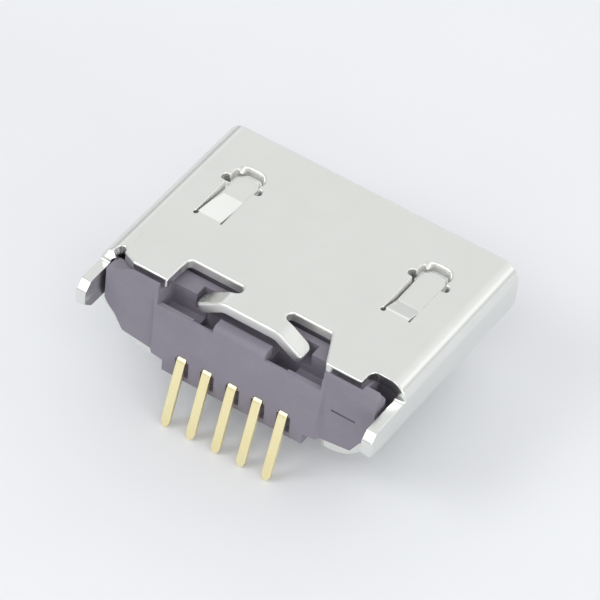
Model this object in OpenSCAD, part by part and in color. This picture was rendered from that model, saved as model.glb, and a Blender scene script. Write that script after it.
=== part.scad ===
// Board-mount micro USB socket: folded sheet shell, moulded housing, five formed contacts.
// X runs across the mouth, the mouth faces -Y, +Z points away from the board.
// The origin is the middle of the mouth opening; lengths in millimetres.

/* [Shell] */
// Width across the side walls
shell_w = 7.5; // [7.4:0.05:7.6]
// Height from the board face to the top face
shell_h = 2.35; // [2.3:0.05:2.4]
// Depth from the mouth to the rear edge
shell_d = 5.05; // [5.0:0.05:5.2]
// Thickness of the sheet
sheet_t = 0.25; // [0.22:0.01:0.28]
// Height and width of the sloped lower corners
slope = 1.05; // [0.95:0.05:1.1]
// Outer bend radius where the slopes begin and end
slope_r = 1.0; // [0.8:0.05:1.1]
// Outer bend radius of the two upper corners
top_r = 0.45; // [0.35:0.05:0.5]
// Gap left at the folded seam
seam_gap = 0.03; // [0.02:0.01:0.05]

/* [Latches] */
// Distance between the two latch windows
latch_span = 4.8; // [4.7:0.05:4.9]
// Distance from the mouth to the windows' front wall
latch_front = 1.05; // [0.95:0.05:1.15]
// Distance from the mouth to the root of the latch fingers
latch_root = 2.88; // [2.8:0.02:3.0]
// Width of a latch finger
latch_w = 0.62; // [0.56:0.02:0.66]
// How far a finger's head is pressed into the mouth
latch_dip = 0.15; // [0.1:0.01:0.3]

/* [Rear of the shell] */
// Length of the side horns behind the rear edge
horn_l = 0.79; // [0.6:0.01:1.1]
// Angle by which the retaining tongue's wings are bent down
wing_bend = 32; // [24:1:34]

/* [Housing] */
// How far the housing stands out behind the shell
housing_out = 0.24; // [0.2:0.02:0.3]
// Distance from the mouth to the tongue's front edge
tongue_y = 0.95; // [0.8:0.05:1.2]
// Width of the tongue
tongue_w = 3.64; // [3.5:0.02:3.8]

/* [Contacts] */
// Spacing of the contacts
pitch = 0.65; // [0.6:0.05:0.7]
// Thickness of the contact strip
strip_t = 0.12; // [0.1:0.01:0.14]
// Width of a tail
tail_w = 0.22; // [0.2:0.01:0.28]
// Reach of the tails below the board face
tail_below = 1.0; // [0.6:0.02:1.5]
// Lean of the tails away from straight down
tail_lean = 17; // [0:1:20]

/* [Hidden] */
$fn = 48;

e = 0.01;
fit = 0.02;                        // room between the housing and what it touches
k = tan(22.5);
hw = shell_w / 2;
mid = shell_h / 2;                 // height of the mouth's middle over the board face
rear = shell_d + housing_out;      // rear face of the housing
rear_top = shell_d + 0.12;         // the same at the top, where it leans forward
rear_side = shell_d + 0.15;        // and at the sides
notch_x = 1.92;                    // half width of the notch in the board face
notch_y = shell_d - 0.93;          // front edge of that notch
cut_y = shell_d - 0.9;             // front edge of the notches in the top face
ear_x = 2.9;                       // outer end of the top face's rear edge
horn_z0 = slope + 0.07;
horn_z1 = shell_h - top_r;
tongue_z0 = 1.15;
tongue_z1 = 1.76;
run_z = 0.63;                      // height of the contacts where they leave the housing
tab_end = shell_d - 0.19;          // rear edge of the retaining tongue
fold_x = 0.67;                     // fold line of its wings
wing_l = 0.82;                     // length of a wing from the fold line
ear_y = shell_d - 0.07;            // rear edge of the top face beside the notches
tab_z = shell_h - sheet_t - 0.15;  // top of the housing under the retaining tongue's rear edge

// ---- helpers -------------------------------------------------------------

// Shape drawn in X and Z, drawn out from y0 to y1
module along_y(y0, y1) translate([0, y1, 0]) rotate([90, 0, 0]) linear_extrude(y1 - y0) children();
// Shape drawn in Y and Z, drawn out from x0 to x1
module along_x(x0, x1) translate([x0, 0, 0]) rotate([90, 0, 90]) linear_extrude(x1 - x0) children();
// Shape drawn in X and Y, drawn out from z0 to z1
module along_z(z0, z1) translate([0, 0, z0]) linear_extrude(z1 - z0) children();

module both() { children(); mirror([1, 0, 0]) children(); }

// What is cut away at corner v to round it: the edges leave v at angles a and b
module corner(v, a, b, r) {
    m = (a + b) / 2;
    h = abs(b - a) / 2;
    l = r / tan(h);
    c = v + r / sin(h) * [cos(m), sin(m)];
    difference() {
        polygon([v - 0.2 * r * [cos(m), sin(m)], v + l * [cos(a), sin(a)], c, v + l * [cos(b), sin(b)]]);
        translate(c) circle(r);
    }
}

// The shell's section, moved in from its outside by d
module section(d) {
    bx = hw - slope - d * k;
    sz = slope + d * k;
    x = hw - d;
    difference() {
        polygon([[-bx, d], [bx, d], [x, sz], [x, shell_h - d], [-x, shell_h - d], [-x, sz]]);
        both() {
            corner([bx, d], 180, 45, max(slope_r - d, 0.2));
            corner([x, sz], 225, 90, max(slope_r - d, 0.2));
            corner([x, shell_h - d], 180, 270, max(top_r - d, 0.1));
        }
    }
}

// A strip of sheet bent along a path, in plan: a list of [straight, turn, radius] legs
function leg_end(p, a, l) = p + l * [cos(a), sin(a)];
function strip_side(p, a, legs, o, i = 0) = i >= len(legs) ? [] :
    let (q = leg_end(p, a, legs[i][0]), b = legs[i][1], r = legs[i][2], s = b < 0 ? -1 : 1,
         c = q + s * r * [-sin(a), cos(a)], n = max(1, ceil(abs(b) / 6)))
    b == 0 ? concat([q + o * [-sin(a), cos(a)]], strip_side(q, a, legs, o, i + 1)) :
    concat([for (j = [0:n]) let (u = a + b * j / n) c + (s * r - o) * [sin(u), -cos(u)]],
           strip_side(c + s * r * [sin(a + b), -cos(a + b)], a + b, legs, o, i + 1));
function flip(l) = [for (j = [len(l) - 1:-1:0]) l[j]];
function strip(p, a, legs, o) = concat(
    [p + o * [-sin(a), cos(a)]], strip_side(p, a, legs, o),
    flip(strip_side(p, a, legs, -o)), [p - o * [-sin(a), cos(a)]]);

// ---- shell ---------------------------------------------------------------

// Slit where the sheet's two edges meet, with its dovetail key
module seam() {
    g = seam_gap / 2;
    translate([-g, -e]) square([2 * g, 0.72 + e]);
    translate([-g, 1.28]) square([2 * g, notch_y - 1.28 + e]);
    difference() {
        polygon([[-g, 0.72 - g], [0, 0.72 - g], [0.4 + g, 0.54 - 1.5 * g], [0.4 + g, 1.46 + 1.5 * g], [0, 1.28 + g], [-g, 1.28 + g]]);
        polygon([[-1, 0.72 + g], [0, 0.72 + g], [0.4 - g, 0.54 + 1.5 * g], [0.4 - g, 1.46 - 1.5 * g], [0, 1.28 - g], [-1, 1.28 - g]]);
    }
}

// Outline of a latch finger, its head towards the mouth
module finger() {
    w = latch_w / 2;
    f = latch_front + 0.07;
    difference() {
        translate([-w, f]) square([2 * w, latch_root + 0.3 - f]);
        both() corner([w, f], 180, 90, 0.22);
    }
}

// Opening punched around a finger
module window() {
    w = latch_w / 2;
    difference() {
        translate([-w - 0.05, latch_front]) square([2 * w + 0.1, 0.55]);
        both() corner([w + 0.05, latch_front], 180, 90, 0.26);
    }
    both() {
        translate([w + 0.1, latch_front + 0.52]) circle(0.1);
        translate([w - e, latch_front + 0.4]) square([0.03 + e, latch_root - latch_front - 0.4]);
    }
    translate([w + 0.01, latch_root]) circle(0.05);
}

// The finger itself: level at the root, sloped by b degrees, then level again at its head
module latch(b) {
    r = 0.25;
    run = (latch_dip - 2 * r * (1 - cos(b))) / sin(b);
    intersection() {
        along_x(-latch_w, latch_w)
            polygon(strip([latch_root + 0.3, shell_h - sheet_t / 2], 180,
                [[0.3, b, r], [run, -b, r], [latch_root - latch_front, 0, 0]], sheet_t / 2));
        along_z(0, shell_h + 1) finger();
    }
}

// Retaining tongue at the rear of the top face, before its wings are bent
module tab_plan() {
    w = fold_x - 0.1 + (0.4 + sheet_t / 2) * sin(wing_bend) + (wing_l - 0.2) * cos(wing_bend);
    difference() {
        union() {
            translate([-0.575, cut_y - 0.1]) square([1.15, tab_end - cut_y + 0.1]);
            difference() {
                translate([-w, shell_d - 0.66]) square([2 * w, tab_end - shell_d + 0.66]);
                both() corner([w, shell_d - 0.66], 180, 90, 0.2);
                both() corner([w, tab_end], 180, 270, 0.12);
            }
        }
    }
    both() difference() {
        translate([0.575 - e, shell_d - 0.66 - 0.14]) square([0.14 + e, 0.14 + e]);
        translate([0.575 + 0.14, shell_d - 0.66 - 0.14]) circle(0.14);
    }
}

// A wing, bent down into the housing's pocket
module wing() intersection() {
    along_y(cut_y - 0.05, tab_end)
        polygon(strip([fold_x - 0.2, shell_h - sheet_t / 2], 0, [[0.1, -wing_bend, 0.4], [wing_l - 0.2, 0, 0]], sheet_t / 2));
    along_z(0, shell_h + 1) tab_plan();
}

// Notches beside the retaining tongue, one square and one with a slanted outer end
module rear_cut() {
    difference() {
        polygon([[-1.62, cut_y], [2.0, cut_y], [2.02, shell_d + 1], [-2.46, shell_d + 1], [-2.03, shell_d]]);
        translate([-0.575, cut_y - 1]) square([1.15, 3]);
        both() corner([0.575, cut_y], 90, 0, 0.16);
        corner([2.0, cut_y], 180, 90, 0.12);
        corner([-1.62, cut_y], 0, -67 + 180 , 0.1);
    }
}

// Horn at the rear of a side wall: the wall itself, carried on and cut to shape
module horn() intersection() {
    y = shell_d + horn_l;
    along_y(shell_d - 0.6, y) difference() { section(0); section(sheet_t); }
    along_x(hw - 0.6, hw + 1) difference() {
        polygon([[shell_d - 0.7, horn_z0], [y - 0.2, horn_z0], [y, horn_z0 + 0.2], [y, horn_z1 - 0.2], [y - 0.2, horn_z1], [shell_d - 0.7, horn_z1]]);
        corner([y, horn_z0 + 0.2], 225, 90, 0.12);
        corner([y, horn_z1 - 0.2], 270, 135, 0.12);
    }
}

module shell_sheet() {
    difference() {
        along_y(0, shell_d) difference() { section(0); section(sheet_t); }
        // notch for the housing's board-side block
        along_z(-1, 1) {
            translate([-notch_x, notch_y]) square([2 * notch_x, 3]);
            both() {
                translate([notch_x - 0.02, notch_y + 0.02]) circle(0.07);
                corner([notch_x, shell_d], 0, -90, 0.35);
            }
        }
        along_z(-1, 1) seam();
        // notches beside the retaining tongue
        along_z(shell_h - sheet_t - 0.1, shell_h + 1) rear_cut();
        along_z(shell_h - sheet_t - 0.1, shell_h + 1) translate([-0.6, tab_end]) square([1.2, 1]);
        // rear edge of the top face, a little forward of the rest
        both() along_z(shell_h - sheet_t - 0.1, shell_h + 1) translate([1.8, ear_y]) square([3, 1]);
        // relief cuts between the top face and the horns: a wide one, and a round hole beside a slanted corner
        along_z(horn_z1, shell_h + 1) {
            mirror([1, 0, 0]) {
                translate([ear_x, shell_d - 0.34]) square([2, 1]);
                translate([ear_x + 0.16, shell_d - 0.34]) circle(0.16);
                translate([ear_x + 0.16, shell_d - 0.5]) square([2, 1]);
                corner([ear_x, ear_y], 180, 270, 0.07);
            }
            polygon([[2.88, shell_d + 1], [2.88, ear_y], [3.21, shell_d - 0.22], [3.45, shell_d - 0.15], [5, shell_d - 0.15], [5, shell_d + 1]]);
            translate([3.33, shell_d - 0.23]) circle(0.12);
            translate([3.21, shell_d - 0.23]) square([0.24, 1]);
        }
        // latch windows
        for (s = [-1, 1]) translate([s * latch_span / 2, 0, 0]) along_z(shell_h - sheet_t - 0.1, shell_h + 1) union() {
            window();
            finger();
        }
        // lead-in along the mouth's inner edges
        along_x(-hw + 0.5, hw - 0.5)
            polygon([[-e, shell_h - sheet_t - 0.2], [0.24, shell_h - sheet_t - 0.2], [0.24, shell_h - sheet_t], [-e, shell_h - sheet_t + 0.13]]);
        along_x(-hw + slope + 0.4, hw - slope - 0.4)
            polygon([[-e, sheet_t + 0.2], [0.2, sheet_t + 0.2], [0.2, sheet_t], [-e, sheet_t - 0.1]]);
    }
    both() horn();
    both() wing();
    // one finger is bent down in a long slope, the other in a short steep one, to the same depth
    translate([latch_span / 2, 0, 0]) latch(60 * latch_dip);
    translate([-latch_span / 2, 0, 0]) latch(113 * latch_dip);
}

module shell() color([0.80, 0.81, 0.79]) translate([0, 0, -mid]) shell_sheet();

// ---- contacts ------------------------------------------------------------

// Side view of a contact, g wider on each side
module contact_path(g) {
    b = 42;
    r = 0.18;
    z0 = tongue_z0 + 0.04;
    drop = z0 - run_z;
    slant = (drop - 2 * r * (1 - cos(b))) / sin(b);
    across = slant * cos(b) + 2 * r * sin(b);
    y0 = tongue_y + 0.2;
    y1 = 3.85;
    y2 = y1 + across;
    rb = 0.1;
    turn = 90 - tail_lean;
    y3 = rear - 0.08;
    zb = run_z - rb * (1 - cos(turn));
    fall = (zb + tail_below) / sin(turn);
    polygon(strip([y0, z0], 0, [[y1 - y0, -b, r], [slant, b, r], [y3 - y2, -turn, rb], [fall, 0, 0]], strip_t / 2 + g));
}

// Front view of a contact: wide in the housing, narrow at the tail, its tip cut to a blunt point
module contact_body(x, g) translate([x, 0, 0]) intersection() {
    along_x(-1, 1) contact_path(g);
    along_y(0, 10) difference() {
        union() {
            translate([-tail_w / 2 - g, -3]) square([tail_w + 2 * g, 6]);
            translate([-0.16 - g, run_z + 0.2]) square([0.32 + 2 * g, 3]);
        }
        if (g == 0) both() polygon([[tail_w / 2 - 0.06, -tail_below - 0.1], [tail_w / 2 + 0.1, -tail_below - 0.1], [tail_w / 2 + 0.1, -tail_below + 0.14], [tail_w / 2, -tail_below + 0.14]]);
    }
}

module contact(i) color([0.88, 0.74, 0.42]) translate([0, 0, -mid]) contact_body((i - 2) * pitch, 0);

module vbus_contact() contact(0);
module data_minus_contact() contact(1);
module data_plus_contact() contact(2);
module id_contact() contact(3);
module ground_contact() contact(4);

// ---- housing -------------------------------------------------------------

module housing_body() {
    difference() {
        union() {
            // plug that fills the rear of the shell and stands out behind it
            along_y(3.5, rear) intersection() {
                section(sheet_t + fit);
                translate([-3.42, 0]) square([6.84, 5]);
            }
            // flange that covers part of the shell's rear edge
            along_y(shell_d + 0.02, rear)
                polygon([[-2.92, 0.46], [-1.8, 0.31], [1.8, 0.31], [2.92, 0.46], [3.4, 1.25], [3.4, 1.8], [-3.4, 1.8], [-3.4, 1.25]]);
            // shoulders behind the top face, one sloped at its end, one with a post in the wide relief cut
            along_y(shell_d + 0.05, rear) {
                polygon([[2.1, 1.8], [3.42, 1.8], [3.42, 2.0], [3.3, 2.06], [2.78, shell_h - 0.06], [2.1, shell_h - 0.06]]);
                polygon([[-2.1, 1.8], [-3.42, 1.8], [-3.42, 2.2], [-3.34, shell_h - 0.06], [-2.1, shell_h - 0.06]]);
            }
            along_y(shell_d - 0.1, rear)
                polygon([[-3.0, 1.8], [-3.42, 1.8], [-3.42, 2.2], [-3.34, shell_h - 0.06], [-3.0, shell_h - 0.06]]);
            // block in the notch of the board face
            along_z(0.02, 0.6) difference() {
                translate([-notch_x + 0.12, notch_y + 0.04]) square([2 * notch_x - 0.24, rear - notch_y - 0.04]);
                both() corner([notch_x - 0.12, notch_y + 0.04], 180, 90, 0.1);
            }
            // tongue
            along_x(-tongue_w / 2, tongue_w / 2) difference() {
                polygon([[tongue_y, tongue_z0 + 0.16], [tongue_y + 0.16, tongue_z0], [3.6, tongue_z0], [3.6, tongue_z1], [tongue_y + 0.2, tongue_z1], [tongue_y, tongue_z1 - 0.16]]);
            }
            // step that stiffens the tongue's root
            along_x(-tongue_w / 2 - 0.2, tongue_w / 2 + 0.2)
                polygon([[2.9, tongue_z1], [3.05, tongue_z1 + 0.14], [3.6, tongue_z1 + 0.14], [3.6, tongue_z0], [3.3, tongue_z0], [3.3, tongue_z1]]);
        }
        // pockets for the wings
        both() {
            translate([0.66, shell_d - 0.72, 1.58]) cube([0.8, 0.36, 2]);
            translate([0.66, shell_d - 0.4, 1.76]) cube([1.42, 2, 2]);
            translate([0.66, shell_d - 0.44, 1.2]) cube([0.54, 0.53, 2]);
            translate([1.1, shell_d - 0.42, 1.42]) cube([0.96, 0.46, 2]);
        }
        // room under the shell's relief cuts
        both() translate([2.98, shell_d - 0.75, 1.3]) cube([1, 0.51, 1]);
        // air under the edges of the notches in the top face
        translate([-2.08, cut_y - 0.1, shell_h - sheet_t - 0.11]) cube([4.16, 2, 1]);
        translate([-2.08, cut_y - 0.15, shell_h - sheet_t - 0.32]) cube([4.16, 0.15, 1]);
        // air under the rear edge of the retaining tongue, with a groove behind the lip there
        translate([-0.7, shell_d - 0.6, tab_z]) cube([1.4, 2, 1]);
        translate([-0.7, shell_d - 0.6, tab_z - 0.35]) cube([1.4, 0.45, 1]);
        // rear face, leaning forward above the contacts
        along_x(-5, 5) polygon([[rear, run_z + 0.25], [rear_top, shell_h], [rear_top, 3], [rear + 1, 3], [rear + 1, run_z + 0.25]]);
        // rounded edge under the retaining tongue
        along_x(-0.7, 0.7) corner([rear_top + (rear - rear_top) * (shell_h - tab_z) / (shell_h - run_z - 0.25), tab_z], 180, 275, 0.14);
        // the sides stand out less than the middle
        both() along_z(-1, 4) polygon([[2.08, rear + 0.01], [2.09 + rear - rear_side, rear_side], [5, rear_side], [5, rear + 1], [2.08, rear + 1]]);
        // clearance behind the shell's lower edge
        both() along_y(shell_d + 0.02, rear + 1)
            polygon([[notch_x - 0.12, -1], [notch_x - 0.12, 0.31], [2.92, 0.46], [2.92, -1]]);
        // tongue's corners
        both() along_z(0, 2) corner([tongue_w / 2, tongue_y], 180, 90, 0.2);
        // channels of the contacts
        for (i = [0:4]) contact_body((i - 2) * pitch, 0.01);
        // grooves in the rear face below them
        for (i = [0:4]) translate([(i - 2) * pitch - 0.17, rear - 0.16, 0.14]) cube([0.34, 1, run_z - 0.19]);
        // slots that bare the contacts under the tongue
        for (i = [0:4]) translate([(i - 2) * pitch - 0.17, tongue_y + 0.18, tongue_z0 - 0.4]) cube([0.34, 3.45 - tongue_y - 0.18, 0.45]);
        // ejector marks and parting line on the board face
        both() translate([1.33, shell_d - 0.38, -1]) cylinder(r = 0.31, h = 1.04);
        translate([-0.012, notch_y, -1]) cube([0.024, 3, 1.035]);
        // short parting slit in the rear face
        translate([-2.97, rear_top - 0.1, 1.32]) cube([0.6, 1, 0.05]);
    }
}

module housing() color([0.36, 0.34, 0.40]) translate([0, 0, -mid]) housing_body();

// ---- parts ---------------------------------------------------------------

shell();
housing();
vbus_contact();
data_minus_contact();
data_plus_contact();
id_contact();
ground_contact();
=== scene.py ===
import math

import bmesh
import bpy
import numpy as np
from mathutils import Matrix, Vector
from mathutils.geometry import delaunay_2d_cdt


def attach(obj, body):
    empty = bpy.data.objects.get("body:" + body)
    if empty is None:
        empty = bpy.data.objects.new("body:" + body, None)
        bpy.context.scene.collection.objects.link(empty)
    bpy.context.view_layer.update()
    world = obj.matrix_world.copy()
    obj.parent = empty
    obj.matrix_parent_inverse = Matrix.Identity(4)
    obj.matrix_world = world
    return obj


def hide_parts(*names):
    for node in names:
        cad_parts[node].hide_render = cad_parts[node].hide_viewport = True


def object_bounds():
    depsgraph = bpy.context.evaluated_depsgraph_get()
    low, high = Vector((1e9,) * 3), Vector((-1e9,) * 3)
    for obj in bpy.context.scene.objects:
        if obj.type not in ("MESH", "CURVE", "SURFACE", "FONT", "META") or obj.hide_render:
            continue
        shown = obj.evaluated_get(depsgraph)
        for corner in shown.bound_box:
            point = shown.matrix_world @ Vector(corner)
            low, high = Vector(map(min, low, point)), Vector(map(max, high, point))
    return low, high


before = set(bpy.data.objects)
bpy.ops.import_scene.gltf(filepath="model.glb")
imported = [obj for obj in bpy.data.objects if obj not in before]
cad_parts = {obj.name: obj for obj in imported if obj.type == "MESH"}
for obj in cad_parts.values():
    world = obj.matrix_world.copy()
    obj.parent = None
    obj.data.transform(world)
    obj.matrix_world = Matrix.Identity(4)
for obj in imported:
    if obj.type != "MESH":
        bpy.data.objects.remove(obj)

cad_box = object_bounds()

# Everything is worked out in millimetres over the board face, then put into the
# frame: metres, with the origin in the middle of the mouth.
MM = 0.001
MID = 1.175


def to_frame(p):
    p = np.array(p, float)
    p[:, 2] -= MID
    return p * MM


def make_mesh(name, verts_mm, faces, normals=None, attrs=None):
    me = bpy.data.meshes.new(name)
    me.from_pydata(to_frame(verts_mm).tolist(), [], [list(map(int, f)) for f in faces])
    me.polygons.foreach_set("use_smooth", [True] * len(me.polygons))
    for key, val in (attrs or {}).items():
        a = me.attributes.new(key, "FLOAT", "POINT")
        a.data.foreach_set("value", np.asarray(val, np.float32))
    me.update()
    if normals is not None:
        me.normals_split_custom_set_from_vertices(np.asarray(normals, float).tolist())
    ob = bpy.data.objects.new(name, me)
    bpy.context.scene.collection.objects.link(ob)
    return ob


# ---- shell: one blank of sheet, punched flat, then folded -----------------------

SHEET = 0.25
HW, SH, SD = 3.75, 2.35, 5.05
TOP_R, SLOPE_R, SLOPE = 0.45, 1.0, 1.05
LAP = SLOPE_R * math.tan(math.radians(22.5))
L_TOP = HW - TOP_R
L_A1 = TOP_R * math.pi / 2
L_WALL = SH - TOP_R - SLOPE - LAP
L_A2 = SLOPE_R * math.pi / 4
L_SLOPE = SLOPE * math.sqrt(2) - 2 * LAP
L_BOT = HW - SLOPE - LAP
U1 = L_TOP
U2 = U1 + L_A1
U3 = U2 + L_WALL
U4 = U3 + L_A2
U5 = U4 + L_SLOPE
U6 = U5 + L_A2
US = U6 + L_BOT                      # half the developed width, to the seam

LATCH_X, LATCH_W, LATCH_ROOT, LATCH_FRONT, LATCH_DIP = 2.4, 0.31, 2.88, 1.05, 0.15
LR = 0.25
LB = {1: math.radians(9), -1: math.radians(16.95)}   # slope of the finger on +X and on -X


def latch_stations(b):
    """Where a finger's slope begins, ends its root bend, begins its head bend and ends."""
    run = (LATCH_DIP - 2 * LR * (1 - math.cos(b))) / math.sin(b)
    y1 = LATCH_ROOT - LR * math.sin(b)
    y2 = y1 - run * math.cos(b)
    return y1, y2, y2 - LR * math.sin(b)


WING_X, WING_R, WING_B = 0.57, 0.4, math.radians(32)
WING_ARC = WING_R * WING_B
WING_END = WING_X + WING_ARC + 0.62
CUT_Y, WING_Y, TAB_END = SD - 0.9, SD - 0.66, SD - 0.19
EAR_Y = SD - 0.07


def section(s):
    """Point and outward normal on the shell's outside, s along it from the top's middle."""
    x, z, nx, nz = (np.zeros_like(s) for _ in range(4))
    m = s < U1
    x[m], z[m], nz[m] = s[m], SH, 1
    m = (s >= U1) & (s < U2)
    a = (s[m] - U1) / TOP_R
    nx[m], nz[m] = np.sin(a), np.cos(a)
    x[m], z[m] = L_TOP + TOP_R * nx[m], SH - TOP_R + TOP_R * nz[m]
    m = (s >= U2) & (s < U3)
    x[m], z[m], nx[m] = HW, SH - TOP_R - (s[m] - U2), 1
    m = (s >= U3) & (s < U4)
    a = (s[m] - U3) / SLOPE_R
    nx[m], nz[m] = np.cos(a), -np.sin(a)
    x[m], z[m] = HW - SLOPE_R + SLOPE_R * nx[m], SLOPE + LAP + SLOPE_R * nz[m]
    m = (s >= U4) & (s < U5)
    q = (s[m] - U4) / math.sqrt(2)
    c = math.sqrt(0.5)
    nx[m], nz[m] = c, -c
    x[m], z[m] = HW - SLOPE_R + c - q, SLOPE + LAP - c - q
    m = (s >= U5) & (s < U6)
    a = math.pi / 4 + (s[m] - U5) / SLOPE_R
    nx[m], nz[m] = np.cos(a), -np.sin(a)
    x[m], z[m] = L_BOT + SLOPE_R * nx[m], SLOPE_R + SLOPE_R * nz[m]
    m = s >= U6
    x[m], z[m], nz[m] = L_BOT - (s[m] - U6), 0, -1
    return x, z, nx, nz


def fold(u, y, t):
    """From the flat blank (u across, y along, t into the sheet) to the folded shell."""
    u, y, t = np.broadcast_arrays(np.asarray(u, float), np.asarray(y, float), np.asarray(t, float))
    s, sg = np.abs(u), np.where(u < 0, -1.0, 1.0)
    x, z, nx, nz = section(s)
    p = np.stack([sg * (x - nx * t), y, z - nz * t], -1)
    # latch fingers: level, sloped, level
    on_finger = (np.abs(s - LATCH_X) < 0.325) & (y < LATCH_ROOT) & (y > LATCH_FRONT + 0.03)
    for side, b in LB.items():
        m = on_finger & (sg == side)
        if not m.any():
            continue
        y1, y2, y3 = latch_stations(b)
        yy, zc = y[m], SH - SHEET / 2
        ph, zm = np.zeros_like(yy), np.zeros_like(yy)
        k = yy >= y1
        ph[k] = np.arcsin(np.clip((LATCH_ROOT - yy[k]) / LR, 0, 1))
        zm[k] = zc - LR * (1 - np.cos(ph[k]))
        k = (yy < y1) & (yy >= y2)
        ph[k] = b
        zm[k] = zc - LR * (1 - math.cos(b)) - (y1 - yy[k]) * math.tan(b)
        k = (yy < y2) & (yy >= y3)
        ph[k] = np.arcsin(np.clip((yy[k] - y3) / LR, 0, 1))
        zm[k] = zc - LATCH_DIP + LR * (1 - np.cos(ph[k]))
        k = yy < y3
        zm[k] = zc - LATCH_DIP
        o = SHEET / 2 - t[m]
        p[m] = np.stack([u[m], yy - np.sin(ph) * o, zm + np.cos(ph) * o], -1)
    # wings of the retaining tongue, bent down
    m = (s > WING_X) & (s < 1.6) & (y > (CUT_Y + WING_Y) / 2)
    if m.any():
        d = s[m] - WING_X
        a = np.clip(d / WING_R, 0, WING_B)
        run = np.maximum(d - WING_ARC, 0)
        xm = WING_X + WING_R * np.sin(a) + run * math.cos(WING_B)
        zm = SH - SHEET / 2 - WING_R * (1 - np.cos(a)) - run * math.sin(WING_B)
        o = SHEET / 2 - t[m]
        p[m] = np.stack([sg[m] * (xm + np.sin(a) * o), y[m], zm + np.cos(a) * o], -1)
    return p


def unit(v):
    return v / np.maximum(np.linalg.norm(v, axis=-1, keepdims=True), 1e-12)


def axes(u, y, t):
    """Unit vectors across, along and out of the sheet at a point of the blank."""
    h = 1e-4
    du = unit(fold(u + h, y, t) - fold(u - h, y, t))
    dy = unit(fold(u, y + h, t) - fold(u, y - h, t))
    return du, dy, unit(np.cross(du, dy))


def smooth01(v):
    v = np.clip(v, 0, 1)
    return v * v * (3 - 2 * v)


def thick(u, y):
    """Sheet thickness: coined thinner along the mouth as a lead-in."""
    s = np.abs(u)
    top = smooth01((3.3 - s) / 0.12) * 0.13 * np.clip(1 - y / 0.24, 0, 1)
    bot = smooth01((s - (US - 2.35)) / 0.12) * 0.10 * np.clip(1 - y / 0.2, 0, 1)
    return SHEET - top - bot


def rounded(pts, step=0.05):
    """Closed outline with each corner (u, y, r) rounded, cut into short steps."""
    n, out = len(pts), []
    P = [np.array(p[:2], float) for p in pts]
    for i in range(n):
        a, v, b, r = P[i - 1], P[i], P[(i + 1) % n], pts[i][2]
        d1, d2 = unit(a - v), unit(b - v)
        ang = math.acos(max(-1, min(1, float(d1 @ d2))))
        if r <= 0 or abs(ang - math.pi) < 1e-3:
            out.append(v)
            continue
        l = r / math.tan(ang / 2)
        c = v + unit(d1 + d2) * (r / math.sin(ang / 2))
        e1, e2 = v + d1 * l - c, v + d2 * l - c
        a1 = math.atan2(e1[1], e1[0])
        da = (math.atan2(e2[1], e2[0]) - a1 + math.pi) % (2 * math.pi) - math.pi
        k = max(2, int(math.ceil(abs(da) / math.radians(11))))
        out += [c + r * np.array([math.cos(a1 + da * j / k), math.sin(a1 + da * j / k)]) for j in range(k + 1)]
    res = []
    for i in range(len(out)):
        a, b = out[i], out[(i + 1) % len(out)]
        l = float(np.linalg.norm(b - a))
        if l < 1e-6:
            continue
        k = max(1, int(math.ceil(l / step)))
        res += [a + (b - a) * j / k for j in range(k)]
    return np.array(res)


def shell_loops():
    g = 0.015
    N = 1.92                                   # half width of the notch in the board face
    NY = SD - 0.93
    HL, HU0, HU1 = SD + 0.79, U2, U3 + math.asin(SLOPE + LAP - 1.12)
    HUC = U3 + math.asin(SLOPE + LAP - 1.32)
    dog = [(US - 1.82, NY, .05), (US - 1.87, NY - .045, .05), (US - 1.965, NY - .045, .05),
           (US - 1.965, NY + .045, .05), (US - N, NY + .1, .05)]
    horn = [(HU1, SD, .07), (HU1, HL - .2, .12), (HUC, HL, .12), (HU0 + .2, HL, .12), (HU0, HL - .2, .12)]
    right = [(US - g, 0, .035), (US - g, .70, .04), (US - .415, .5175, .05), (US - .415, 1.4825, .05),
             (US - g, 1.30, .04), (US - g, NY, .04)] + dog + [(US - N, SD, .35)] + horn
    right += [(HU0, SD - .15, .08), (3.45, SD - .15, .03), (3.45, SD - .35, .118), (3.21, SD - .35, .118),
              (3.21, SD - .22, .05), (2.88, EAR_Y, .06),
              (2.01, EAR_Y, .06), (2.0, CUT_Y, .12), (.575, CUT_Y, .115), (.575, WING_Y, .115),
              (WING_END, WING_Y, .2), (WING_END, TAB_END, .12)]
    left = [(-WING_END, TAB_END, .12), (-WING_END, WING_Y, .2), (-.575, WING_Y, .115), (-.575, CUT_Y, .115),
            (-1.62, CUT_Y, .1), (-2.0, EAR_Y, .06), (-2.9, EAR_Y, .07), (-2.9, SD - .5, .16), (-HU0, SD - .5, .1)]
    left += [(-u, y, r) for u, y, r in reversed(horn)]
    left += [(-(US - N), SD, .35)] + [(-u, y, r) for u, y, r in reversed(dog)]
    left += [(-(US - g), NY, .04), (-(US - g), 1.265, .04), (-(US + .385), 1.4375, .05),
             (-(US + .385), .5625, .05), (-(US - g), .735, .04), (-(US - g), 0, .035)]
    loops = [rounded(right + left)]
    w, f = LATCH_W, LATCH_FRONT
    front = [(-.34, 1.67, .03), (-.51, 1.67, .09), (-.51, 1.47, .09), (-.36, 1.47, .03), (-.36, f, .26)]
    hole = [(-.34, 2.88, .014)] + front + [(-u, y, r) for u, y, r in reversed(front)]
    hole += [(.34, 2.815, .03), (.37, 2.85, .03), (.37, 2.93, .049), (.27, 2.93, .049), (.27, 2.855, .03), (w, 2.815, .03)]
    hole += [(w, f + .07, .22), (-w, f + .07, .22), (-w, 2.88, .014)]
    for sgn in (-1, 1):
        loops.append(rounded([(u + sgn * LATCH_X, y, r) for u, y, r in hole])[::-1])
    return loops


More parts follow.
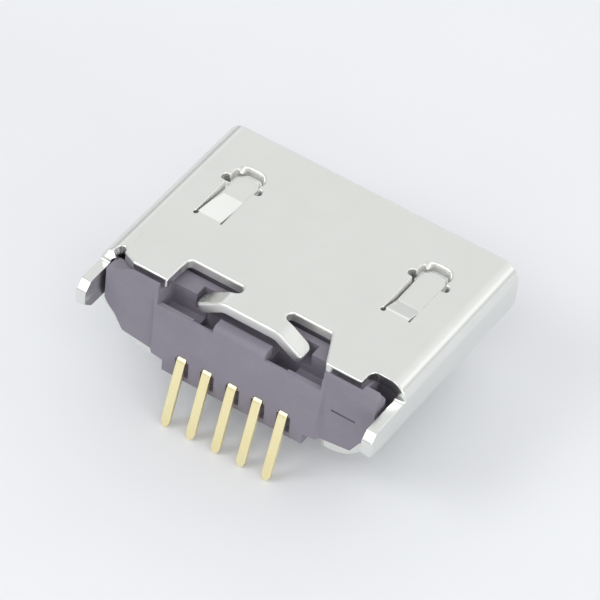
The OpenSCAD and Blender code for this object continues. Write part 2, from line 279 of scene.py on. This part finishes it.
def loop_normals(B):
    """Direction out of the sheet's edge at each point, long enough for a true offset."""
    d = unit(np.roll(B, -1, 0) - B)
    n = np.stack([d[:, 1], -d[:, 0]], -1)
    n0 = np.roll(n, 1, 0)
    return (n + n0) / (1 + (n * n0).sum(-1, keepdims=True))


def inside(loops, P):
    """Even-odd test of points against closed loops."""
    c = np.zeros(len(P), bool)
    for L in loops:
        a, b = L, np.roll(L, -1, 0)
        for (x0, y0), (x1, y1) in zip(a, b):
            if y0 == y1:
                continue
            m = (P[:, 1] > min(y0, y1)) & (P[:, 1] <= max(y0, y1))
            if m.any():
                xs = x0 + (P[m, 1] - y0) * (x1 - x0) / (y1 - y0)
                c[m] ^= P[m, 0] < xs
    return c


def spans(loops, c, axis, lo, hi, margin=0.05):
    """Stretches of the line (coordinate axis = c) that lie inside the loops, trimmed at both ends."""
    hits, o = [], 1 - axis
    for L in loops:
        a, b = L, np.roll(L, -1, 0)
        m = (a[:, axis] > c) != (b[:, axis] > c)
        f = (c - a[m, axis]) / (b[m, axis] - a[m, axis])
        hits += (a[m, o] + f * (b[m, o] - a[m, o])).tolist()
    hits.sort()
    res = []
    for p, q in zip(hits[::2], hits[1::2]):
        p, q = max(p + margin, lo), min(q - margin, hi)
        if q - p > 0.03:
            res.append((p, q))
    return res


def sheet_face(loops, lines):
    """Triangles over the blank inside the loops, following the given lines."""
    V, E = [], []
    for L in loops:
        k = len(V)
        V += [Vector(p) for p in L]
        E += [(k + i, k + (i + 1) % len(L)) for i in range(len(L))]
    nb = len(V)
    for c, axis, lo, hi, step in lines:
        for p, q in spans(loops, c, axis, lo, hi):
            k = max(1, int(math.ceil((q - p) / step)))
            i0 = len(V)
            for j in range(k + 1):
                v = p + (q - p) * j / k
                V.append(Vector((c, v) if axis == 0 else (v, c)))
            E += [(i0 + j, i0 + j + 1) for j in range(k)]
    vo, _, fo, ov, _, _ = delaunay_2d_cdt(V, E, [], 0, 1e-7)
    P = np.array([(v.x, v.y) for v in vo])
    F = np.array(fo, int)
    keep = inside(loops, P[F].mean(1))
    F = F[keep]
    back = {}
    for i, o in enumerate(ov):
        for k in o:
            back[k] = i
    return P, F, [back[i] for i in range(nb)]


def roll_over(L):
    """Rounding of the outer edge: larger where the punch pulled the sheet in, behind and at the windows' front."""
    s, y = np.abs(L[:, 0]), L[:, 1]
    back = smooth01((3.0 - s) / 0.2) * smooth01((y - 3.6) / 0.3)
    head = smooth01((1.4 - y) / 0.15) * smooth01((y - 0.5) / 0.3) * smooth01((3.0 - s) / 0.1)
    return 0.032 + np.maximum(0.025 * back, 0.043 * head)


def build_shell():
    ri = 0.022
    loops = shell_loops()
    M = [loop_normals(L) for L in loops]
    bend = []
    for a, b, k in ((U1, U2, 12), (U3, U4, 8), (U5, U6, 8)):
        bend += [a + (b - a) * j / k for j in range(k + 1)]
    lines = [(s * u, 0, -1, 9, 0.45) for u in bend for s in (-1, 1)]
    for j in range(6):
        lines += [(s * (WING_X + WING_ARC * j / 5), 0, CUT_Y + .1, 9, 0.2) for s in (-1, 1)]
    for s, b in LB.items():
        h = LR * math.sin(b) / 4
        fy = [LATCH_ROOT - h * j for j in range(5)] + [latch_stations(b)[1] - h * j for j in range(5)]
        lines += [(y, 1, s * LATCH_X - .31, s * LATCH_X + .31, 0.3) for y in fy]
    lines_in = lines + [(0.24, 1, -20, 20, 0.3)]
    verts, norms, rough_edge_and_painted_highlight, faces = [], [], [], []
    count = 0
    prof = [(math.radians(a), 0) for a in (0, 22.5, 45, 67.5, 90)] + [(math.radians(a), 1) for a in (90, 120, 150, 180)]
    ring_at = []
    for L, m in zip(loops, M):
        mu = unit(m)
        base = []
        ro = roll_over(L)
        for a, side in prof:
            r = ro[:, None] if side == 0 else ri
            q = L - m * (r * (1 - math.sin(a)))
            T = thick(q[:, 0], q[:, 1])
            t = ro * (1 - math.cos(a)) if side == 0 else T - ri * (1 + math.cos(a))
            du, dy, nn = axes(q[:, 0], q[:, 1], t)
            verts.append(fold(q[:, 0], q[:, 1], t))
            norms.append(unit(math.sin(a) * (mu[:, :1] * du + mu[:, 1:] * dy) + math.cos(a) * nn))
            # Edge weight on the rounded edge rings: it makes the cut edge rougher (real) and mixes its colour toward a
            # pale tone, which is a painted highlight.
            shade = smooth01((np.abs(q[:, 0]) - 1.9) / 0.08) * smooth01((q[:, 1] - 4.4) / 0.1)
            # Painted shade: the shade mask takes the painted edge highlight off the ears' rear edges, which sit in
            # shade behind the housing shoulder.
            rough_edge_and_painted_highlight.append(math.sin(a) ** 2 * (1 - shade))
            base.append(count)
            count += len(L)
        n = len(L)
        for k in range(len(prof) - 1):
            for i in range(n):
                j = (i + 1) % n
                faces.append((base[k] + i, base[k + 1] + i, base[k + 1] + j, base[k] + j))
        ring_at.append((base[0], base[-1], n))
    for side in (0, 1):
        inset = [L - m * (roll_over(L)[:, None] if side == 0 else ri) for L, m in zip(loops, M)]
        P, F, bmap = sheet_face(inset, lines if side == 0 else lines_in)
        idx = np.full(len(P), -1)
        k = 0
        for (b0, b1, n), L in zip(ring_at, loops):
            for i in range(n):
                idx[bmap[k + i]] = (b0 if side == 0 else b1) + i
            k += n
        new = np.where(idx < 0)[0]
        idx[new] = count + np.arange(len(new))
        count += len(new)
        u, y = P[new, 0], P[new, 1]
        t = np.zeros(len(new)) if side == 0 else thick(u, y)
        verts.append(fold(u, y, t))
        if side == 0:
            nn = axes(u, y, t)[2]
        else:
            h = 1e-4
            a = fold(u + h, y, thick(u + h, y)) - fold(u - h, y, thick(u - h, y))
            b = fold(u, y + h, thick(u, y + h)) - fold(u, y - h, thick(u, y - h))
            nn = -unit(np.cross(a, b))
        norms.append(nn)
        rough_edge_and_painted_highlight.append(np.zeros(len(new)))
        tri = idx[F]
        a, b, c = P[F[:, 0]], P[F[:, 1]], P[F[:, 2]]
        ccw = ((b - a)[:, 0] * (c - a)[:, 1] - (b - a)[:, 1] * (c - a)[:, 0]) > 0
        flip = ~ccw if side == 0 else ccw
        tri[flip] = tri[flip][:, ::-1]
        faces += [tuple(f) for f in tri]
    return make_mesh("shell_sheet_metal", np.concatenate(verts), faces, np.concatenate(norms), {"rough_edge_and_painted_highlight": np.concatenate(rough_edge_and_painted_highlight)})


# ---- contacts: strips of plated metal, formed and cropped ------------------------

STRIP, RUN_Z, REAR = 0.12, 0.63, SD + 0.24


def contact_points():
    """Middle line of a contact in y and z, with its direction."""
    b, r, z0, y0, y1 = math.radians(42), 0.18, 1.19, 1.15, 3.85
    slant = (z0 - RUN_Z - 2 * r * (1 - math.cos(b))) / math.sin(b)
    y2 = y1 + slant * math.cos(b) + 2 * r * math.sin(b)
    rb, turn = 0.10, math.radians(73)
    fall = (RUN_Z - rb * (1 - math.cos(turn)) + 1.0) / math.sin(turn)
    pts, p, a = [], np.array([y0, z0]), 0.0

    def straight(l, cuts):
        nonlocal p
        for c in cuts:
            pts.append((p + np.array([math.cos(a), math.sin(a)]) * l * c, a))
        p = p + np.array([math.cos(a), math.sin(a)]) * l

    def bend(d, rad, n):
        nonlocal p, a
        s = 1 if d > 0 else -1
        c = p + s * rad * np.array([-math.sin(a), math.cos(a)])
        a0 = a
        for i in range(n + 1):
            v = a0 + d * i / n
            pts.append((c + s * rad * np.array([math.sin(v), -math.cos(v)]), v))
        a = a0 + d
        p = c + s * rad * np.array([math.sin(a), -math.cos(a)])

    straight(y1 - y0, (0, .0075, .5))
    bend(-b, r, 8)
    straight(slant, (.3, .6))
    bend(b, r, 8)
    straight(REAR - .08 - y2, (.5,))
    bend(-turn, rb, 14)
    straight(fall, (.2, .4, .6, .8, 1 - .14 / fall, 1 - .02 / fall, 1.0))
    return pts


def build_contact(name, x):
    pts = contact_points()
    c, seg = 0.026, 4
    total = [0.0]
    for (a, _), (b, _) in zip(pts, pts[1:]):
        total.append(total[-1] + float(np.linalg.norm(b - a)))
    end = total[-1]
    V, Nn, F = [], [], []
    n = 4 * (seg + 1)
    for (q, a), s in zip(pts, total):
        w = 0.16 if q[1] > RUN_Z + 0.2 else 0.11
        h = STRIP / 2
        left = end - s
        if left < 0.1401:
            w -= 0.06 * (1 - left / 0.14) + (0.014 if left < 1e-6 else 0)
            h -= 0.012 * (1 - left / 0.14) + (0.014 if left < 1e-6 else 0)
        if s < 1e-6:
            w, h = w - .014, h - .014
        fwd = np.array([0, math.cos(a), math.sin(a)])
        up = np.array([0, -math.sin(a), math.cos(a)])
        for k, (sx, sz) in enumerate(((1, 1), (-1, 1), (-1, -1), (1, -1))):
            for j in range(seg + 1):
                th = math.radians((0, 90, 180, 270)[k] + 90 * j / seg)
                d = math.cos(th) * np.array([1, 0, 0]) + math.sin(th) * up
                o = sx * (w - c) * np.array([1, 0, 0]) + sz * (h - c) * up
                V.append(np.array([x, q[0], q[1]]) + o + c * d)
                tip = -.5 if s < 1e-6 else (.5 if left < 1e-6 else 0)
                Nn.append(unit(d + tip * fwd))
    m = len(pts)
    for i in range(m - 1):
        for j in range(n):
            k = (j + 1) % n
            F.append((i * n + j, i * n + k, (i + 1) * n + k, (i + 1) * n + j))
    for ring, sgn in ((0, -1), (m - 1, 1)):
        k0 = len(V)
        a = pts[ring][1]
        fwd = sgn * np.array([0, math.cos(a), math.sin(a)])
        V += [V[ring * n + j].copy() for j in range(n)]
        Nn += [fwd] * n
        F.append([k0 + j for j in (range(n) if sgn < 0 else reversed(range(n)))])
        # the cap shares its outline with the last ring
        F[-1] = tuple(F[-1])
    # outward direction of all faces
    V, Nn = np.array(V), np.array(Nn)
    G = []
    for f in F:
        f = list(f)
        p = V[f]
        nf = np.cross(p[1] - p[0], p[2] - p[0])
        if len(f) > 4:
            nf = sum(np.cross(p[i] - p[0], p[i + 1] - p[0]) for i in range(1, len(f) - 1))
        if float(nf @ Nn[f].mean(0)) < 0:
            f = f[::-1]
        G.append(f)
    return make_mesh(name, V, G, Nn)


# ---- housing: the moulded block with its edges eased -----------------------------

def build_housing():
    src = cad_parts["housing"].data
    bm = bmesh.new()
    bm.from_mesh(src)
    bmesh.ops.scale(bm, vec=(1000, 1000, 1000), verts=bm.verts)
    bmesh.ops.remove_doubles(bm, verts=bm.verts, dist=2e-4)
    bmesh.ops.dissolve_limit(bm, angle_limit=math.radians(0.6), verts=bm.verts, edges=bm.edges)
    edges = []
    for e in bm.edges:
        if len(e.link_faces) == 2 and e.calc_face_angle(0) > math.radians(25):
            edges.append(e)
    bmesh.ops.bevel(bm, geom=edges, offset=0.022, offset_type="OFFSET", segments=2, profile=0.5,
                    affect="EDGES", clamp_overlap=True, loop_slide=True)
    bmesh.ops.triangulate(bm, faces=[f for f in bm.faces if len(f.verts) > 4])
    bmesh.ops.scale(bm, vec=(MM, MM, MM), verts=bm.verts)
    me = bpy.data.meshes.new("housing_moulding")
    bm.to_mesh(me)
    bm.free()
    ob = bpy.data.objects.new("housing_moulding", me)
    bpy.context.scene.collection.objects.link(ob)
    return ob


# ---- materials -------------------------------------------------------------------

def new_material(name):
    mat = bpy.data.materials.new(name)
    mat.use_nodes = True
    nt = mat.node_tree
    return mat, nt, nt.nodes["Principled BSDF"]


def node(nt, kind, **inputs):
    n = nt.nodes.new(kind)
    for k, v in inputs.items():
        n.inputs[k.replace("_", " ")].default_value = v
    return n


def coords(nt, scale=(1000, 1000, 1000), rot=(0, 0, 0)):
    tc = nt.nodes.new("ShaderNodeTexCoord")
    mp = nt.nodes.new("ShaderNodeMapping")
    mp.inputs["Scale"].default_value = scale
    mp.inputs["Rotation"].default_value = rot
    nt.links.new(tc.outputs["Object"], mp.inputs["Vector"])
    return mp.outputs["Vector"]


def noise(nt, vec, scale, detail=3.0, rough=0.55):
    n = node(nt, "ShaderNodeTexNoise", Scale=scale, Detail=detail, Roughness=rough)
    nt.links.new(vec, n.inputs["Vector"])
    return n.outputs["Fac"]


def ramp(nt, fac, stops):
    r = nt.nodes.new("ShaderNodeValToRGB")
    e = r.color_ramp.elements
    while len(e) < len(stops):
        e.new(0.5)
    for el, (p, c) in zip(e, stops):
        el.position, el.color = p, (*c, 1)
    nt.links.new(fac, r.inputs["Fac"])
    return r.outputs["Color"]


def spread(nt, fac, lo, hi, a=0.3, b=0.7):
    m = nt.nodes.new("ShaderNodeMapRange")
    for k, v in (("From Min", a), ("From Max", b), ("To Min", lo), ("To Max", hi)):
        m.inputs[k].default_value = v
    nt.links.new(fac, m.inputs["Value"])
    return m.outputs["Result"]


def math_node(nt, op, a, b):
    m = nt.nodes.new("ShaderNodeMath")
    m.operation = op
    for i, v in enumerate((a, b)):
        if isinstance(v, (int, float)):
            m.inputs[i].default_value = v
        else:
            nt.links.new(v, m.inputs[i])
    return m.outputs[0]


def bump(nt, height, dist, strength=1.0, normal=None):
    b = node(nt, "ShaderNodeBump", Strength=strength, Distance=dist)
    nt.links.new(height, b.inputs["Height"])
    if normal is not None:
        nt.links.new(normal, b.inputs["Normal"])
    return b.outputs["Normal"]


def shell_material():
    mat, nt, b = new_material("shell_nickel")
    L = nt.links.new
    v = coords(nt)
    grain = noise(nt, v, 26, 4)
    cloud = noise(nt, v, 1.3, 3)
    roll = noise(nt, coords(nt, (900, 11000, 11000)), 1, 3)
    # Edge weight from the mesh: rougher cut edges (real), plus a lighter edge colour that is a painted highlight.
    rough_edge_and_painted_highlight = nt.nodes.new("ShaderNodeAttribute")
    rough_edge_and_painted_highlight.attribute_name = "rough_edge_and_painted_highlight"
    col = ramp(nt, cloud, [(0.3, (0.785, 0.797, 0.766)), (0.7, (0.806, 0.818, 0.787))])
    mix = nt.nodes.new("ShaderNodeMix")
    mix.data_type = "RGBA"
    # Painted highlight: the edges are mixed toward this pale colour.
    L(math_node(nt, "MULTIPLY", rough_edge_and_painted_highlight.outputs["Fac"], 0.7), mix.inputs["Factor"])
    L(col, mix.inputs["A"])
    mix.inputs["B"].default_value = (0.88, 0.87, 0.85, 1)
    L(mix.outputs["Result"], b.inputs["Base Color"])
    b.inputs["Metallic"].default_value = 1.0
    r = math_node(nt, "ADD", spread(nt, grain, 0.23, 0.27), math_node(nt, "MULTIPLY", rough_edge_and_painted_highlight.outputs["Fac"], 0.22))
    L(r, b.inputs["Roughness"])
    n = bump(nt, grain, 2.5e-7, 0.5)
    n = bump(nt, roll, 2e-7, 0.35, n)
    L(n, b.inputs["Normal"])
    return mat


def housing_material():
    mat, nt, b = new_material("housing_lcp")
    L = nt.links.new
    v = coords(nt)
    fine = noise(nt, v, 42, 4)
    flow = noise(nt, coords(nt, (900, 1500, 1300), (0.2, 0.1, 0.5)), 0.9, 3)
    col = ramp(nt, flow, [(0.28, (0.214, 0.198, 0.240)), (0.5, (0.230, 0.213, 0.258)), (0.75, (0.248, 0.230, 0.276))])
    speck = ramp(nt, fine, [(0.35, (0.88, 0.88, 0.89)), (0.65, (1.06, 1.06, 1.05))])
    mix = nt.nodes.new("ShaderNodeMix")
    mix.data_type, mix.blend_type = "RGBA", "MULTIPLY"
    mix.inputs["Factor"].default_value = 0.6
    L(col, mix.inputs["A"])
    L(speck, mix.inputs["B"])
    L(mix.outputs["Result"], b.inputs["Base Color"])
    L(spread(nt, fine, 0.5, 0.68), b.inputs["Roughness"])
    b.inputs["Specular IOR Level"].default_value = 0.42
    L(bump(nt, flow, 2e-6, 0.3, bump(nt, fine, 1.2e-6, 0.5)), b.inputs["Normal"])
    return mat


def contact_material():
    mat, nt, b = new_material("contact_gold")
    L = nt.links.new
    v = coords(nt)
    grain = noise(nt, v, 18, 2)
    cloud = noise(nt, v, 1.6, 2)
    col = ramp(nt, cloud, [(0.3, (1.0, 0.88, 0.50)), (0.7, (1.0, 0.915, 0.57))])
    L(col, b.inputs["Base Color"])
    b.inputs["Metallic"].default_value = 1.0
    L(spread(nt, grain, 0.30, 0.34), b.inputs["Roughness"])
    draw = noise(nt, coords(nt, (9000, 9000, 900)), 1, 2)
    L(bump(nt, draw, 1.5e-7, 0.25), b.inputs["Normal"])
    return mat


def floor_material():
    mat, nt, b = new_material("floor_pale")
    v = coords(nt, (60, 60, 60))
    nt.links.new(ramp(nt, noise(nt, v, 3, 3), [(0.3, (0.785, 0.797, 0.822)), (0.7, (0.80, 0.812, 0.837))]), b.inputs["Base Color"])
    b.inputs["Roughness"].default_value = 0.6
    b.inputs["Specular IOR Level"].default_value = 0.25
    return mat


M_SHELL, M_HOUSING, M_CONTACT = shell_material(), housing_material(), contact_material()


def place(ob, node_name, mat):
    ob.data.materials.clear()
    ob.data.materials.append(mat)
    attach(ob, "root")
    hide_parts(node_name)


place(build_shell(), "shell", M_SHELL)
place(build_housing(), "housing", M_HOUSING)
for i, nm in enumerate(("vbus_contact", "data_minus_contact", "data_plus_contact", "id_contact", "ground_contact")):
    place(build_contact(nm + "_strip", (i - 2) * 0.65), nm, M_CONTACT)

# ---- floor, light, camera ----------------------------------------------------------

FLOOR_Z = cad_box[0][2] - 2e-6
me = bpy.data.meshes.new("floor")
R = 0.9
me.from_pydata([(-R, -R, FLOOR_Z), (R, -R, FLOOR_Z), (R, R, FLOOR_Z), (-R, R, FLOOR_Z)], [], [(0, 1, 2, 3)])
me.materials.append(floor_material())
floor = bpy.data.objects.new("floor", me)
bpy.context.scene.collection.objects.link(floor)

world = bpy.data.worlds.new("studio")
bpy.context.scene.world = world
world.use_nodes = True
wt = world.node_tree
tc = wt.nodes.new("ShaderNodeTexCoord")
sep = wt.nodes.new("ShaderNodeSeparateXYZ")
wt.links.new(tc.outputs["Generated"], sep.inputs[0])
sky = ramp(wt, spread(wt, sep.outputs["Z"], 0, 1, -0.1, 1.0),
           [(0.0, (1.25, 1.255, 1.265)), (0.135, (1.25, 1.255, 1.265)), (0.19, (0.62, 0.625, 0.635)), (0.335, (0.62, 0.625, 0.635)),
            (0.395, (1.30, 1.305, 1.315)), (0.52, (1.30, 1.305, 1.315)), (0.63, (0.96, 0.965, 0.97)), (0.75, (0.935, 0.94, 0.945)), (1.0, (1.0, 1.0, 1.0))])
wt.links.new(sky, wt.nodes["Background"].inputs["Color"])
wt.links.new(math_node(wt, "MULTIPLY", spread(wt, sep.outputs["Y"], 0.98, 0.74, -1.0, 1.0), spread(wt, sep.outputs["X"], 1.0, 0.82, 0.42, 0.70)),
             wt.nodes["Background"].inputs["Strength"])


def area(name, pos_mm, aim_mm, size_mm, watts, color=(1, 1, 1)):
    li = bpy.data.lights.new(name, "AREA")
    li.shape = "RECTANGLE"
    li.size, li.size_y = size_mm[0] * MM, size_mm[1] * MM
    li.energy, li.color = watts, color
    ob = bpy.data.objects.new(name, li)
    bpy.context.scene.collection.objects.link(ob)
    p, a = Vector(pos_mm) * MM, Vector(aim_mm) * MM
    ob.matrix_world = Matrix.Translation(p) @ (a - p).to_track_quat("-Z", "Y").to_matrix().to_4x4()
    return ob


area("key_soft", (-80, 150, 200), (0, 2.5, 0), (140, 140), 0.08)
area("rear_card", (130, 143, 174), (0, 2.5, 0), (110, 110), 0.15)
area("low_fill", (-180, 80, 45), (-3, 3, -2), (110, 60), 0.09)
area("bend_card", (-120, -135, 105), (-3.5, 2.5, 1), (180, 180), 0.009)

cam_d = bpy.data.cameras.new("camera")
cam = bpy.data.objects.new("camera", cam_d)
bpy.context.scene.collection.objects.link(cam)
eye = Vector((-36.169, 68.076, 74.313))
f0, r0, u0 = Vector((0.38105, -0.59161, -0.71049)), Vector((-0.81531, -0.57739, 0.04351)), Vector((0.43597, -0.56269, 0.70236))
fwd = (f0 + r0 * (97 / 2045.1) + u0 * (7 / 2045.1)).normalized()
right = fwd.cross(u0).normalized()
up = right.cross(fwd)
rot = Matrix((right, up, -fwd)).transposed()
cam.matrix_world = Matrix.Translation(eye * MM) @ rot.to_4x4()
cam_d.sensor_width = 36
cam_d.lens = 36 * 2045.1 / 250
cam_d.clip_start, cam_d.clip_end = 0.001, 20
bpy.context.scene.camera = cam
bpy.context.scene.view_settings.view_transform = "Standard"
bpy.context.scene.view_settings.look = "None"
